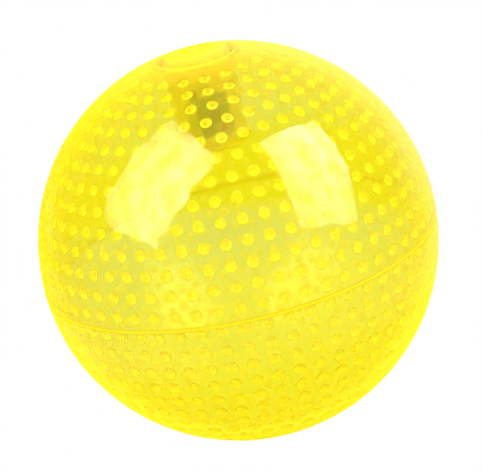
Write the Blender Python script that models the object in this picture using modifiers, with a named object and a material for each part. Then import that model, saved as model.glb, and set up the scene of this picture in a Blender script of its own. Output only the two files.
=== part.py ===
"""A light-up rubber ball with its flasher module, for Blender 4.5.

The ball's centre is the origin and +Z runs out through the plug. Lengths are in metres.
The flasher module has its own frame, an empty turned about Z, whose -Y side is its front.
"""

import math

import bmesh
import bpy
from mathutils import Vector

MM = 0.001

# Ball and wall
BALL_RADIUS = 50.0 * MM
WALL = 3.0 * MM
SOFT_GAP = 0.3 * MM  # between the rubber pieces
FINE_GAP = 0.15 * MM  # between the small pieces of the module
BALL_STEPS = 60

# Seam at the equator
GROOVE_DEPTH = 0.6 * MM
GROOVE_HALF_HEIGHT = 0.6 * MM
BEAD_PROUD = 0.18 * MM
BEAD_HALF_HEIGHT = 0.36 * MM
BEAD_ROOT = 0.28 * MM

# Pocket in the upper shell, and the plug that closes it
BORE_RADIUS = 7.2 * MM
POCKET_WALL = 1.3 * MM
POCKET_FLOOR_Z = 27.2 * MM
POCKET_FLOOR_WALL = 1.4 * MM
PLUG_BOTTOM_Z = 41.2 * MM
PLUG_STEPS = 48
PIP_RADIUS = 2.3 * MM
RECESS_RADIUS = 4.5 * MM
RECESS_DEPTH = 0.5 * MM

# Flasher module
MODULE_YAW = math.radians(27.0)
MODULE_BOTTOM_Z = 29.0 * MM
BOARD_WIDTH = 8.5 * MM
BOARD_HEIGHT = 9.3 * MM
BOARD_THICKNESS = 0.6 * MM
STRIP_THICKNESS = 0.2 * MM
STRIP_WIDTH = 2.4 * MM
PEG_RADIUS = 0.35 * MM
PEG_INSET = 0.65 * MM
PEG_PROUD = 0.2 * MM
FOOT_HALF_WIDTH = 0.6 * MM
FOOT_HALF_DEPTH = 1.2 * MM
FRONT_CONTACT_REACH = 2.9 * MM
REAR_CONTACT_REACH = 2.2 * MM

# Parts on the board's front: places are (x, z), from the module's middle
BLOB_RADIUS = 1.9 * MM
BLOB_HEIGHT = 0.8 * MM
BLOB_PLACE = (0.3 * MM, -0.2 * MM)
LED_HALF_WIDTH = 1.4 * MM
LED_HALF_HEIGHT = 1.0 * MM
LED_DEPTH = 1.1 * MM
LED_WELL_RADIUS = 0.85 * MM
LED_WELL_DEPTH = 0.6 * MM
BLUE_LED_PLACE = (2.1 * MM, 3.05 * MM)
RED_LED_PLACE = (1.2 * MM, -3.35 * MM)
RESISTOR_LOW = (-3.3 * MM, -3.45 * MM)
RESISTOR_HIGH = (-2.05 * MM, -1.45 * MM)
RESISTOR_DEPTH = 0.5 * MM

# Button cells, size LR621
CELL_RADIUS = 3.4 * MM
CELL_HEIGHT = 2.1 * MM
CELL_STEPS = 28
CAN_SHEET = 0.25 * MM
CAN_HEIGHT = 1.85 * MM
GASKET_SHEET = 0.22 * MM

# Impact switch
SPRING_MEAN_RADIUS = 0.89 * MM
SPRING_WIRE_RADIUS = 0.11 * MM
SPRING_ROOT_X = -2.2 * MM
SPRING_LENGTH = 4.2 * MM
SPRING_TURNS = 7
SPRING_POINTS_PER_TURN = 12
PIN_RADIUS = 0.15 * MM
PIN_TIP_X = -0.8 * MM
PIN_POST_X = 3.2 * MM
PIN_BEND = 0.5 * MM
SWITCH_BASE_X = (-3.8 * MM, -2.6 * MM)
SWITCH_BASE_HALF_DEPTH = 0.9 * MM
SWITCH_Z = 39.7 * MM

# Places worked out from the sizes above
MODULE_TOP_Z = MODULE_BOTTOM_Z + BOARD_HEIGHT
MODULE_MIDDLE_Z = MODULE_BOTTOM_Z + BOARD_HEIGHT / 2
STACK_DEPTH = BOARD_THICKNESS + 2 * STRIP_THICKNESS + 2 * CELL_HEIGHT + 4 * FINE_GAP
BOARD_FRONT_Y = -STACK_DEPTH / 2
BOARD_BACK_Y = BOARD_FRONT_Y + BOARD_THICKNESS
HOLDER_FRONT_Y = BOARD_BACK_Y + FINE_GAP
FRONT_CELL_Y = HOLDER_FRONT_Y + STRIP_THICKNESS + FINE_GAP
REAR_CELL_Y = FRONT_CELL_Y + CELL_HEIGHT + FINE_GAP
HOLDER_BACK_Y = REAR_CELL_Y + CELL_HEIGHT
HOLDER_BOTTOM_Z = MODULE_BOTTOM_Z + 0.3 * MM
HOLDER_TOP_Z = MODULE_TOP_Z - 0.6 * MM
PEG_PLACES = (
    (-BOARD_WIDTH / 2 + PEG_INSET, MODULE_TOP_Z - PEG_INSET - 0.3 * MM),
    (BOARD_WIDTH / 2 - PEG_INSET, MODULE_BOTTOM_Z + PEG_INSET + 0.2 * MM),
)


def clear_scene():
    """Remove every object of the open scene."""
    for obj in list(bpy.data.objects):
        bpy.data.objects.remove(obj, do_unlink=True)


def new_collection(name, hidden=False):
    """A collection in the scene; a hidden one holds cutters."""
    collection = bpy.data.collections.new(name)
    collection.hide_render = hidden
    bpy.context.scene.collection.children.link(collection)
    return collection


def material(name, colour, roughness, metallic=0.0, transmission=0.0):
    """A Principled material."""
    made = bpy.data.materials.new(name)
    made.use_nodes = True
    shader = made.node_tree.nodes["Principled BSDF"]
    shader.inputs["Base Color"].default_value = (*colour, 1.0)
    shader.inputs["Roughness"].default_value = roughness
    shader.inputs["Metallic"].default_value = metallic
    shader.inputs["Transmission Weight"].default_value = transmission
    made.diffuse_color = (*colour, 1.0)
    return made


def place(name, mesh, collection, finish, parent=None):
    """An object for a mesh or a curve, in its collection, with its material."""
    obj = bpy.data.objects.new(name, mesh)
    collection.objects.link(obj)
    mesh.materials.append(finish)
    obj.parent = parent
    return obj


def smooth(obj, angle=35.0):
    """Smooth shading with sharp edges above an angle in degrees."""
    obj.data.shade_smooth()
    obj.data.set_sharp_from_angle(angle=math.radians(angle))


def arc(radius, first, last, segments):
    """Points of an arc about the origin, from one angle above the equator to another."""
    points = []
    for i in range(segments + 1):
        angle = first + (last - first) * i / segments
        points.append((radius * math.cos(angle), radius * math.sin(angle)))
    return points


def turned(name, profile, steps, collection, finish, parent=None, ring=False):
    """A solid turned about Z from (radius, height) points that run down its outer side."""
    mesh = bpy.data.meshes.new(name)
    edges = [(i, i + 1) for i in range(len(profile) - 1)]
    if ring:
        edges.append((len(profile) - 1, 0))
    mesh.from_pydata([(radius, 0.0, height) for radius, height in profile], edges, [])
    obj = place(name, mesh, collection, finish, parent)
    screw = obj.modifiers.new("Turn", "SCREW")
    screw.axis = "Z"
    screw.steps = steps
    screw.render_steps = steps
    screw.use_smooth_shade = True
    screw.use_merge_vertices = True
    screw.merge_threshold = 0.00001
    return obj


def block(name, low, high, collection, finish, parent=None, bevel=0.0):
    """A box between two corners, with its edges rounded."""
    mesh = bpy.data.meshes.new(name)
    shape = bmesh.new()
    bmesh.ops.create_cube(shape, size=1.0)
    size = Vector(high) - Vector(low)
    bmesh.ops.scale(shape, vec=size, verts=shape.verts)
    shape.to_mesh(mesh)
    shape.free()
    obj = place(name, mesh, collection, finish, parent)
    obj.location = (Vector(high) + Vector(low)) / 2
    if bevel:
        rounding = obj.modifiers.new("Round", "BEVEL")
        rounding.width = bevel
        rounding.segments = 2
        rounding.limit_method = "ANGLE"
    return obj


def rod_mesh(name, radius, depth, segments):
    """A cylinder mesh about Z, centred on its origin."""
    mesh = bpy.data.meshes.new(name)
    shape = bmesh.new()
    bmesh.ops.create_cone(
        shape, cap_ends=True, segments=segments, radius1=radius, radius2=radius, depth=depth
    )
    shape.to_mesh(mesh)
    shape.free()
    return mesh


def rod_along_y(name, radius, x, z, front, back, collection, finish, parent, segments=24):
    """A cylinder along Y at (x, z), from its front to its back."""
    obj = place(name, rod_mesh(name, radius, back - front, segments), collection, finish, parent)
    obj.rotation_euler = (math.radians(90.0), 0.0, 0.0)
    obj.location = (x, (front + back) / 2, z)
    return obj


def boolean(obj, other, operation):
    """Cut another object from this one, or join it on."""
    other.display_type = "WIRE"
    other.hide_render = True
    step = obj.modifiers.new(other.name, "BOOLEAN")
    step.operation = operation
    step.object = other


def strip(name, path, width, collection, finish, parent):
    """A bent sheet-metal strip, from (y, z) points along the middle of its thickness."""
    mesh = bpy.data.meshes.new(name)
    shape = bmesh.new()
    rows = []
    for y, z in path:
        rows.append([shape.verts.new((side * width / 2, y, z)) for side in (-1, 1)])
    for below, above in zip(rows, rows[1:]):
        shape.faces.new((below[0], below[1], above[1], above[0]))
    shape.to_mesh(mesh)
    shape.free()
    obj = place(name, mesh, collection, finish, parent)
    sheet = obj.modifiers.new("Sheet", "SOLIDIFY")
    sheet.thickness = STRIP_THICKNESS
    sheet.offset = 0.0
    sheet.use_even_offset = True
    return obj


def wire(name, points, radius, collection, finish, parent):
    """A round wire along a list of points."""
    curve = bpy.data.curves.new(name, "CURVE")
    curve.dimensions = "3D"
    curve.bevel_depth = radius
    curve.bevel_resolution = 2
    curve.use_fill_caps = True
    spline = curve.splines.new("POLY")
    spline.points.add(len(points) - 1)
    for point, place_at in zip(spline.points, points):
        point.co = (*place_at, 1.0)
    return place(name, curve, collection, finish, parent)


def make_upper_shell(parts, finish):
    """The half of the wall with the module's pocket moulded on it."""
    inner_radius = BALL_RADIUS - WALL
    pocket_radius = BORE_RADIUS + POCKET_WALL
    fillet = 1.6 * MM
    groove_angle = math.asin(GROOVE_HALF_HEIGHT / BALL_RADIUS)
    mouth_angle = math.acos(BORE_RADIUS / BALL_RADIUS)
    root_angle = math.acos((pocket_radius + fillet) / inner_radius)
    edge_z = SOFT_GAP / 2
    bottom_z = POCKET_FLOOR_Z - POCKET_FLOOR_WALL
    corner = 1.0 * MM

    profile = [(0.0, POCKET_FLOOR_Z), (BORE_RADIUS, POCKET_FLOOR_Z)]
    profile += arc(BALL_RADIUS, mouth_angle, groove_angle, 14)
    profile.append((BALL_RADIUS - GROOVE_DEPTH, edge_z))
    profile += arc(inner_radius, math.asin(edge_z / inner_radius), root_angle, 12)
    root_z = inner_radius * math.sin(root_angle)
    for i in range(1, 4):
        turn = math.radians(90.0) * i / 3
        profile.append(
            (
                pocket_radius + fillet * (1 - math.sin(turn)),
                root_z - fillet * (1 - math.cos(turn)),
            )
        )
    for i in range(4):
        turn = math.radians(90.0) * i / 3
        profile.append(
            (
                pocket_radius - corner * (1 - math.cos(turn)),
                bottom_z + corner * (1 - math.sin(turn)),
            )
        )
    profile.append((0.0, bottom_z))
    return turned("upper_shell", profile, BALL_STEPS, parts, finish)


def make_lower_shell(parts, finish):
    """The plain half of the wall."""
    inner_radius = BALL_RADIUS - WALL
    edge_z = -SOFT_GAP / 2
    down = math.radians(-90.0)
    groove_angle = -math.asin(GROOVE_HALF_HEIGHT / BALL_RADIUS)
    profile = arc(inner_radius, down, math.asin(edge_z / inner_radius), 12)
    profile.append((BALL_RADIUS - GROOVE_DEPTH, edge_z))
    profile += arc(BALL_RADIUS, groove_angle, down, 15)
    return turned("lower_shell", profile, BALL_STEPS, parts, finish)


def make_seam_weld(parts, finish):
    """The bead in the groove between the halves, a little proud of the wall."""
    crown = BEAD_HALF_HEIGHT * 0.6
    shoulder = BALL_RADIUS + BEAD_PROUD * 0.75
    profile = [
        (BALL_RADIUS - BEAD_ROOT, 0.0),
        (BALL_RADIUS, BEAD_HALF_HEIGHT),
        (shoulder, crown),
        (BALL_RADIUS + BEAD_PROUD, 0.0),
        (shoulder, -crown),
        (BALL_RADIUS, -BEAD_HALF_HEIGHT),
    ]
    return turned("seam_weld", profile, BALL_STEPS, parts, finish, ring=True)


def make_plug(parts, finish):
    """The plug, with a raised pip in a shallow round recess of its outer face."""
    radius = BORE_RADIUS - SOFT_GAP
    chamfer = 0.6 * MM
    recess_z = BALL_RADIUS - RECESS_DEPTH
    slope = 0.25 * MM
    profile = [
        (0.0, BALL_RADIUS),
        (PIP_RADIUS, BALL_RADIUS),
        (PIP_RADIUS + slope, recess_z),
        (RECESS_RADIUS - slope, recess_z),
    ]
    rim_start = math.acos(RECESS_RADIUS / BALL_RADIUS)
    rim_end = math.acos((radius - slope) / BALL_RADIUS)
    profile += arc(BALL_RADIUS, rim_start, rim_end, 4)
    profile.append((radius, profile[-1][1] - slope))
    profile.append((radius, PLUG_BOTTOM_Z + chamfer))
    profile.append((radius - chamfer, PLUG_BOTTOM_Z))
    profile.append((0.0, PLUG_BOTTOM_Z))
    return turned("plug", profile, PLUG_STEPS, parts, finish)


def make_board(parts, cutters, finish, frame):
    """The circuit board, with a hole for each peg of the holder."""
    half = BOARD_WIDTH / 2
    board = block(
        "circuit_board",
        (-half, BOARD_FRONT_Y, MODULE_BOTTOM_Z),
        (half, BOARD_BACK_Y, MODULE_TOP_Z),
        parts,
        finish,
        frame,
    )
    for number, (x, z) in enumerate(PEG_PLACES):
        hole = rod_along_y(
            f"peg_hole_{number}",
            PEG_RADIUS + FINE_GAP,
            x,
            z,
            BOARD_FRONT_Y - MM,
            BOARD_BACK_Y + 0.1 * MM,
            cutters,
            finish,
            frame,
            16,
        )
        boolean(board, hole, "DIFFERENCE")
    return board


def make_holder(parts, cutters, finish, frame):
    """The frame that carries the cells, with feet on the pocket's floor and pegs in the board."""
    half = BOARD_WIDTH / 2
    holder = block(
        "cell_holder",
        (-half, HOLDER_FRONT_Y, HOLDER_BOTTOM_Z),
        (half, HOLDER_BACK_Y, HOLDER_TOP_Z),
        parts,
        finish,
        frame,
    )
    for number, side in enumerate((-1, 1)):
        x = side * (half - FOOT_HALF_WIDTH)
        foot = block(
            f"foot_{number}",
            (x - FOOT_HALF_WIDTH, -FOOT_HALF_DEPTH, POCKET_FLOOR_Z + SOFT_GAP),
            (x + FOOT_HALF_WIDTH, FOOT_HALF_DEPTH, HOLDER_BOTTOM_Z + 0.5 * MM),
            cutters,
            finish,
            frame,
        )
        boolean(holder, foot, "UNION")
    for number, (x, z) in enumerate(PEG_PLACES):
        peg = rod_along_y(
            f"peg_{number}",
            PEG_RADIUS,
            x,
            z,
            BOARD_FRONT_Y - PEG_PROUD,
            HOLDER_FRONT_Y + 0.4 * MM,
            cutters,
            finish,
            frame,
            16,
        )
        boolean(holder, peg, "UNION")
    bore = rod_along_y(
        "cell_bore",
        CELL_RADIUS + FINE_GAP,
        0.0,
        MODULE_MIDDLE_Z,
        HOLDER_FRONT_Y - MM,
        HOLDER_BACK_Y + MM,
        cutters,
        finish,
        frame,
        32,
    )
    boolean(holder, bore, "DIFFERENCE")
    return holder


def make_cell(name, front_y, parts, finishes, frame):
    """A button cell: can, gasket and cap. The cap faces the board."""
    can_inner = CELL_RADIUS - CAN_SHEET
    gasket_outer = can_inner - FINE_GAP
    gasket_inner = gasket_outer - GASKET_SHEET
    cap_outer = gasket_inner - FINE_GAP
    cap_inner = cap_outer - CAN_SHEET
    lip = 0.12 * MM
    cap_bottom = CAN_SHEET + GASKET_SHEET + 2 * FINE_GAP

    can = [
        (0.0, CAN_SHEET),
        (can_inner, CAN_SHEET),
        (can_inner, CAN_HEIGHT),
        (CELL_RADIUS - lip, CAN_HEIGHT),
        (CELL_RADIUS, CAN_HEIGHT - lip),
        (CELL_RADIUS, lip),
        (CELL_RADIUS - lip, 0.0),
        (0.0, 0.0),
    ]
    gasket = [
        (gasket_inner, CAN_HEIGHT),
        (gasket_outer, CAN_HEIGHT),
        (gasket_outer, CAN_SHEET + FINE_GAP),
        (cap_inner, CAN_SHEET + FINE_GAP),
        (cap_inner, cap_bottom - FINE_GAP),
        (gasket_inner, cap_bottom - FINE_GAP),
    ]
    cap = [
        (0.0, CELL_HEIGHT),
        (cap_outer - lip, CELL_HEIGHT),
        (cap_outer, CELL_HEIGHT - lip),
        (cap_outer, cap_bottom),
        (cap_inner, cap_bottom),
        (cap_inner, CELL_HEIGHT - CAN_SHEET),
        (0.0, CELL_HEIGHT - CAN_SHEET),
    ]
    steel, seal = finishes
    for piece, profile, finish, ring in (
        ("can", can, steel, False),
        ("gasket", gasket, seal, True),
        ("cap", cap, steel, False),
    ):
        obj = turned(f"{name}_{piece}", profile, CELL_STEPS, parts, finish, frame, ring)
        obj.rotation_euler = (math.radians(90.0), 0.0, 0.0)
        obj.location = (0.0, front_y + CELL_HEIGHT, MODULE_MIDDLE_Z)


def make_contacts(parts, finish, frame):
    """The strips that press on the front cell's cap and on the rear cell's can."""
    middle = STRIP_THICKNESS / 2
    front_y = HOLDER_FRONT_Y + middle
    strip(
        "front_contact",
        [
            (front_y, MODULE_MIDDLE_Z - FRONT_CONTACT_REACH),
            (front_y, MODULE_MIDDLE_Z + FRONT_CONTACT_REACH),
        ],
        STRIP_WIDTH,
        parts,
        finish,
        frame,
    )
    rear_y = HOLDER_BACK_Y + FINE_GAP + middle
    over_z = HOLDER_TOP_Z + FINE_GAP + middle
    strip(
        "rear_contact",
        [
            (rear_y, MODULE_MIDDLE_Z - REAR_CONTACT_REACH),
            (rear_y, over_z - 0.3 * MM),
            (rear_y - 0.3 * MM, over_z),
            (BOARD_BACK_Y + FINE_GAP, over_z),
        ],
        STRIP_WIDTH,
        parts,
        finish,
        frame,
    )


def make_led(name, place_on_board, parts, cutters, finishes, frame):
    """A surface-mounted LED: a white body with a round well, and the clear lens in it."""
    x = place_on_board[0]
    z = MODULE_MIDDLE_Z + place_on_board[1]
    back = BOARD_FRONT_Y - FINE_GAP
    front = back - LED_DEPTH
    lens_radius = LED_WELL_RADIUS - FINE_GAP
    case, lens = finishes
    body = block(
        f"{name}_body",
        (x - LED_HALF_WIDTH, front, z - LED_HALF_HEIGHT),
        (x + LED_HALF_WIDTH, back, z + LED_HALF_HEIGHT),
        parts,
        case,
        frame,
    )
    well = rod_along_y(
        f"{name}_well",
        LED_WELL_RADIUS,
        x,
        z,
        front - MM,
        front + LED_WELL_DEPTH,
        cutters,
        case,
        frame,
    )
    boolean(body, well, "DIFFERENCE")
    profile = [
        (0.0, LED_WELL_DEPTH + 0.1 * MM),
        (lens_radius * 0.55, LED_WELL_DEPTH + 0.05 * MM),
        (lens_radius, LED_WELL_DEPTH - 0.12 * MM),
        (lens_radius, FINE_GAP),
        (0.0, FINE_GAP),
    ]
    cover = turned(f"{name}_lens", profile, 20, parts, lens, frame)
    cover.rotation_euler = (math.radians(90.0), 0.0, 0.0)
    cover.location = (x, front + LED_WELL_DEPTH, z)


def make_board_parts(parts, cutters, finishes, frame):
    """The epoxy blob over the chip, the resistor and the two LEDs, on the board's front."""
    back = BOARD_FRONT_Y - FINE_GAP
    dome = arc(BLOB_RADIUS, math.pi / 2, 0.0, 6)
    profile = [(x, z * BLOB_HEIGHT / BLOB_RADIUS) for x, z in dome]
    profile.append((0.0, 0.0))
    blob = turned("chip_blob", profile, 24, parts, finishes["epoxy"], frame)
    blob.rotation_euler = (math.radians(90.0), 0.0, 0.0)
    blob.location = (BLOB_PLACE[0], back, MODULE_MIDDLE_Z + BLOB_PLACE[1])

    block(
        "resistor",
        (RESISTOR_LOW[0], back - RESISTOR_DEPTH, MODULE_MIDDLE_Z + RESISTOR_LOW[1]),
        (RESISTOR_HIGH[0], back, MODULE_MIDDLE_Z + RESISTOR_HIGH[1]),
        parts,
        finishes["resistor"],
        frame,
        0.08 * MM,
    )
    make_led("led_blue", BLUE_LED_PLACE, parts, cutters, finishes["blue_led"], frame)
    make_led("led_red", RED_LED_PLACE, parts, cutters, finishes["red_led"], frame)


def make_switch(parts, finishes, frame):
    """The impact switch: a coil fixed at one end, which touches the pin inside it when it wobbles."""
    base_low_x, base_high_x = SWITCH_BASE_X
    block(
        "switch_base",
        (base_low_x, -SWITCH_BASE_HALF_DEPTH, HOLDER_TOP_Z + FINE_GAP),
        (base_high_x, SWITCH_BASE_HALF_DEPTH, SWITCH_Z + 1.1 * MM),
        parts,
        finishes["switch_base"],
        frame,
        0.15 * MM,
    )
    pin = [(PIN_TIP_X, 0.0, SWITCH_Z)]
    for i in range(5):
        turn = math.radians(90.0) * i / 4
        pin.append(
            (
                PIN_POST_X - PIN_BEND * (1 - math.sin(turn)),
                0.0,
                SWITCH_Z - PIN_BEND * (1 - math.cos(turn)),
            )
        )
    pin.append((PIN_POST_X, 0.0, HOLDER_TOP_Z + FINE_GAP))
    wire("switch_pin", pin, PIN_RADIUS, parts, finishes["pin"], frame)

    coil = []
    count = SPRING_TURNS * SPRING_POINTS_PER_TURN
    for i in range(count + 1):
        turn = 2 * math.pi * i / SPRING_POINTS_PER_TURN
        coil.append(
            (
                SPRING_LENGTH * i / count,
                SPRING_MEAN_RADIUS * math.cos(turn),
                SPRING_MEAN_RADIUS * math.sin(turn),
            )
        )
    spring = wire("switch_spring", coil, SPRING_WIRE_RADIUS, parts, finishes["spring"], frame)
    spring.location = (SPRING_ROOT_X, 0.0, SWITCH_Z)


def main():
    clear_scene()
    parts = new_collection("playground_rubber_ball")
    cutters = new_collection("cutters", hidden=True)

    wall = material("upper_wall_rubber", (0.98, 0.86, 0.02), 0.12, transmission=0.85)
    lower_wall = material("lower_wall_rubber", (0.98, 0.85, 0.02), 0.14, transmission=0.85)
    weld = material("weld_rubber", (0.99, 0.90, 0.10), 0.25, transmission=0.5)
    dense = material("plug_rubber", (0.97, 0.80, 0.01), 0.30)
    holder_plastic = material("holder_plastic", (0.62, 0.60, 0.46), 0.45)
    steel = material("cell_steel", (0.78, 0.78, 0.76), 0.22, 1.0)
    seal = material("gasket_nylon", (0.80, 0.80, 0.74), 0.50)
    tinned = material("tinned_brass", (0.80, 0.76, 0.62), 0.30, 1.0)

    make_upper_shell(parts, wall)
    make_lower_shell(parts, lower_wall)
    make_seam_weld(parts, weld)
    smooth(make_plug(parts, dense))

    frame = bpy.data.objects.new("module_frame", None)
    frame.rotation_euler = (0.0, 0.0, MODULE_YAW)
    parts.objects.link(frame)

    make_board(parts, cutters, material("board_green", (0.03, 0.16, 0.05), 0.40), frame)
    make_holder(parts, cutters, holder_plastic, frame)
    make_cell("front_cell", FRONT_CELL_Y, parts, (steel, seal), frame)
    make_cell("rear_cell", REAR_CELL_Y, parts, (steel, seal), frame)
    make_contacts(parts, tinned, frame)

    white = material("led_white", (0.85, 0.85, 0.82), 0.40)
    finishes = {
        "epoxy": material("chip_epoxy", (0.015, 0.015, 0.015), 0.25),
        "resistor": material("resistor_black", (0.03, 0.03, 0.03), 0.45),
        "blue_led": (white, material("blue_lens", (0.20, 0.35, 0.80), 0.15, transmission=0.5)),
        "red_led": (white, material("red_lens", (0.80, 0.10, 0.06), 0.15, transmission=0.5)),
        "switch_base": material("switch_black", (0.04, 0.04, 0.04), 0.50),
        "pin": material("pin_brass", (0.80, 0.62, 0.28), 0.28, 1.0),
        "spring": material("spring_wire", (0.75, 0.66, 0.42), 0.28, 1.0),
    }
    make_board_parts(parts, cutters, finishes, frame)
    make_switch(parts, finishes, frame)


main()
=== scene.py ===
"""The looks of a clear yellow light-up rubber ball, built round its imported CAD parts.

The half shells are replaced by finer ones that carry the rows of nubs on the inside of the wall.
Lengths are in metres, and the frame is the CAD model's: origin at the ball's centre, +Z through the plug.
"""

import math

import bmesh
import bpy
import numpy as np
from mathutils import Matrix, Vector
from mathutils.geometry import delaunay_2d_cdt


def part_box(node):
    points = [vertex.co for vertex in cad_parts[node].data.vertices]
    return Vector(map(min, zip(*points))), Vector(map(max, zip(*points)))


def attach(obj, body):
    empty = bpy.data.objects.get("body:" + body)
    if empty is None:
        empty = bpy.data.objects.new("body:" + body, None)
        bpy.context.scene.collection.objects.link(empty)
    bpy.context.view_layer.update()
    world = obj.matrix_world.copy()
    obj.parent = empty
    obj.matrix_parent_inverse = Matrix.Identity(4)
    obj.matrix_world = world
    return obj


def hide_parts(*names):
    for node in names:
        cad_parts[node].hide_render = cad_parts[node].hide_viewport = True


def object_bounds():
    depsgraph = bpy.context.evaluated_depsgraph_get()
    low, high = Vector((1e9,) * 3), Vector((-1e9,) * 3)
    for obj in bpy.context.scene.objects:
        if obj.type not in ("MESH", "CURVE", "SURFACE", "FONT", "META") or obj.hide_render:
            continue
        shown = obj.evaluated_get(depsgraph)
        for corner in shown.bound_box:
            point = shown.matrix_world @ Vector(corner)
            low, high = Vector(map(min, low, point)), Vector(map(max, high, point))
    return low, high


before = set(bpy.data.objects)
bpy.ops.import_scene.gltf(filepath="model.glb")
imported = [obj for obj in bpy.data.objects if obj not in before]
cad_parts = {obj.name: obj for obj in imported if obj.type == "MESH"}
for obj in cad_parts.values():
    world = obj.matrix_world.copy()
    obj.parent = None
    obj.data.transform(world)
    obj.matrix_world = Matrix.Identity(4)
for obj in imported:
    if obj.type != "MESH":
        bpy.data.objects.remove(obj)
cad_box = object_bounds()

MM = 0.001

# Sizes of the ball, from the frame where it gives them
BALL_RADIUS = -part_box("lower_shell")[0].z
PLUG_LOW, PLUG_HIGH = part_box("plug")
SOFT_GAP = 0.3 * MM
WALL = 3.0 * MM
INNER_RADIUS = BALL_RADIUS - WALL
BORE_RADIUS = PLUG_HIGH.x + SOFT_GAP
POCKET_BOTTOM_Z = 25.8 * MM
POCKET_FLOOR_Z = 27.2 * MM
POCKET_RADIUS = 8.5 * MM
POCKET_FILLET = 1.6 * MM
POCKET_CORNER = 1.0 * MM
MOUTH_RIM = 0.3 * MM
POCKET_STEPS = 72
QUARTER_STEPS = 4

# Slight unevenness of the moulded outside, as a sum of waves over the sphere
WAVINESS = 0.006 * MM
WAVE_SEED = 7
WAVE_COUNT = 14
WAVE_NUMBERS = (14.0, 26.0)

# Nubs on the inside of the wall. Their rings are at shares of their radius: the last two lie on the wall.
ROW_PITCH = math.radians(5.6)
NUBS_AT_EQUATOR = 62.5
ROWS_IN_UPPER_HALF = 13
ROWS_IN_LOWER_HALF = 16
FIRST_MERIDIAN = math.radians(2.5)
ROWS_TURNED_HALF_A_PITCH = (7, 9)
NUB_SIDES = 16
NUB_RADIUS = 1.24 * MM
NUB_HEIGHT = 0.92 * MM
NUB_RINGS = (0.36, 0.64, 0.82, 0.94, 1.02, 1.14, 1.36)
NUB_FOOT = 0.04
NUB_FLATNESS = 2.1
NUB_ROUNDNESS = 0.66

# How strongly a point takes the nubs' colour and their painted glow: at a nub's top, more of it outwards, and
# on the pocket
TOP_SHARE = 0.55
SHARE_RISE = 0.5
POCKET_SHARE = 0.35

# Points where the wall is bare, the faint sink over each nub, and how near two points are one
BARE_SPACING = 1.6 * MM
BARE_INNER_RADII = (11.4 * MM, 12.9 * MM)
BARE_OUTER_RADII = (8.2 * MM, 9.4 * MM, 10.8 * MM, 12.4 * MM, 14.0 * MM)
SINK_SIDES = 8
SINK_DEPTH = 0.003 * MM
SINK_RADIUS = 1.0 * MM
SINK_RINGS = (0.7 * MM, 1.5 * MM)
SAME_PLACE = 1e-9

# Seam
SEAM_STEPS = 240
GROOVE_DEPTH = 0.02 * MM
GROOVE_HALF_HEIGHT = 0.42 * MM
BEAD_RADIUS = 0.50 * MM
BEAD_SINK = 0.44 * MM
BEAD_SIDES = 12

# Plug's top: how far it lies under the ball's surface at each radius, in mm
PLUG_PIP = ((0.0, 0.0), (0.8, 0.0), (1.5, 0.0), (2.0, 0.0), (2.25, 0.06), (2.38, 0.221))
PLUG_RECESS = ((2.5, 0.42), (3.0, 0.50), (3.9, 0.46), (4.3, 0.20))
PLUG_RIM = ((4.5, 0.05), (4.8, 0.0), (5.6, 0.0), (6.5, 0.01))
PLUG_EDGE_DROP = 0.03 * MM
PLUG_CORNER = 0.5 * MM
PLUG_CORNER_CUT = 0.15 * MM
PLUG_BOND = 0.10 * MM
PLUG_STEPS = 96

# Camera, at the photograph's viewing angle
CAMERA_ELEVATION = math.radians(20.0)
CAMERA_ROLL = math.radians(13.0)
CAMERA_DISTANCE = 5.5 * BALL_RADIUS
CAMERA_LENS_MM = 80.95
CAMERA_SENSOR_MM = 36.0
CAMERA_SHIFT = (0.0054, 0.0100)
CAMERA_CLIP = (0.01, 20.0)

# Softboxes: where each one stands, along the camera's right, up and back, its size for a distance of 1, and
# its hot spot across and up its face, from 0 to 1. The mottle is a factor of the cloth's noise and an offset.
SOFTBOX_DISTANCE = 0.9
SOFTBOX_WATTS = 10.0
LEFT_SOFTBOX = {
    "toward": (-0.685, 0.474, 0.553),
    "lean_degrees": -20.0,
    "width": 0.74,
    "height": 1.05,
    "hot_spot": (0.75, 0.5),
}
RIGHT_SOFTBOX = {
    "toward": (0.628, 0.537, 0.563),
    "lean_degrees": 8.0,
    "width": 0.67,
    "height": 0.95,
    "hot_spot": (0.6, 0.75),
}
HOT_SPOT_LEVEL = 1.9
HOT_SPOT_EDGE_LEVEL = 0.45
CLOTH_SCALE = 5.0
CLOTH_MOTTLE = (3.0, -0.6)

# The studio in reflections. Each edge is a direction along the camera's right, up and back, the cosine to it
# at which the level changes, and that change's softness. WARM is the red and green of the light.
TABLE_END = ((-0.147, 1.0, -0.273), 0.077, 0.03)
SCREEN_FOOT = ((-0.643, 0.527, -0.556), 0.168, 0.04)
SCREEN_SIDE = ((1.0, 0.0, 0.0), -0.25, 0.15)
FRONT_SIDE = ((0.0, 0.0, 1.0), 0.0, 0.6)
BACK_SIDE = ((0.0, 0.0, 1.0), -0.4, 0.35)
BACKDROP_FOOT = ((0.6, 0.8, 0.0), 0.35, 0.35)
FRONT_LEVEL = 0.7
BACKDROP_LEVEL = 0.5
WARM = (1.0, 0.89)

# The studio for the eye: pale grey on the lights' side and white behind. The change is at this Y, of a
# direction for the world and of a place for the table, with its softness.
FRONT_GREY = 0.8
WORLD_GREY_EDGE = (-0.2, 0.2)
TABLE_GREY_EDGE = (-0.18, 0.12)

# The studio through the ball: the strength of its light, the blue in it beyond the table, and the red that
# blue costs
STUDIO_WHITE = 1.10
WORLD_BLUE = 0.05
RED_LOSS = 0.15

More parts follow.
